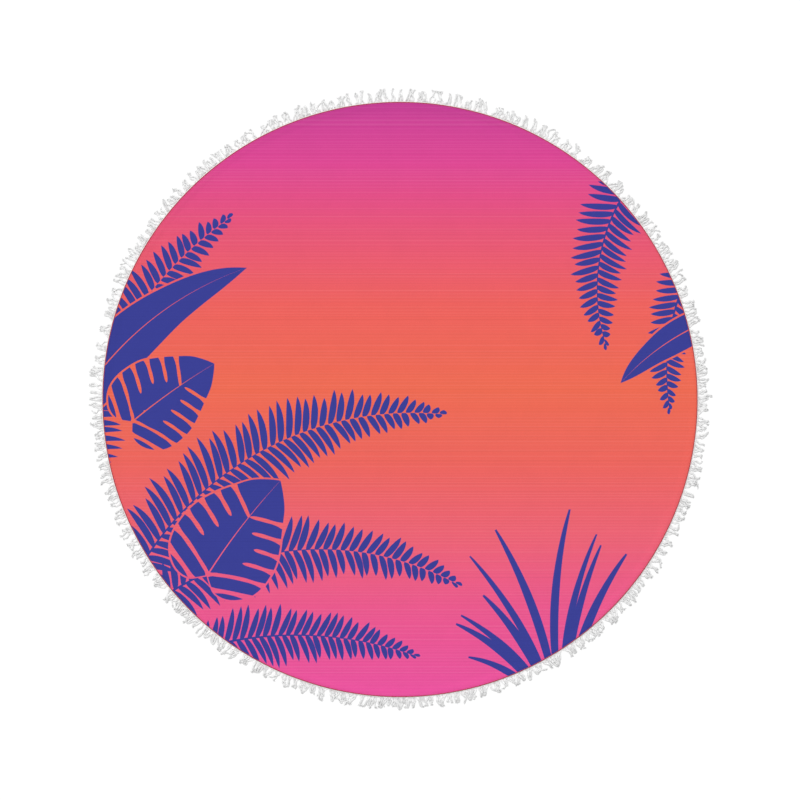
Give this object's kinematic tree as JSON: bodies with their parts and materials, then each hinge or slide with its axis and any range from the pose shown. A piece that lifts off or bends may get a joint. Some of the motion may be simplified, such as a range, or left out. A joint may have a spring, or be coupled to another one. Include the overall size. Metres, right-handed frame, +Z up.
{
  "type": "round beach towel",
  "caption": "Round printed beach towel laid out flat, with a short fringe of cut yarn locks on a tape sewn under its edge.",
  "frame": {"origin": "middle of the towel, on the surface that it lies on", "axes": "+Z up out of the printed face, +Y towards the magenta top of the print, +X to the right of the print"},
  "size_m": [1.572, 1.572, 0.0035],
  "materials": {
    "printed_cloth": "smooth printed microfibre with a short nap, magenta to orange to pink, white on the back",
    "fringe_yarn": "white twisted cotton yarn, cut and fluffy",
    "sewing_thread": "spun polyester thread in the overlock round the edge"
  },
  "bodies": {
    "root": {"cloth_panel": "printed_cloth", "fringe_trim": "fringe_yarn"}
  },
  "joints": []
}
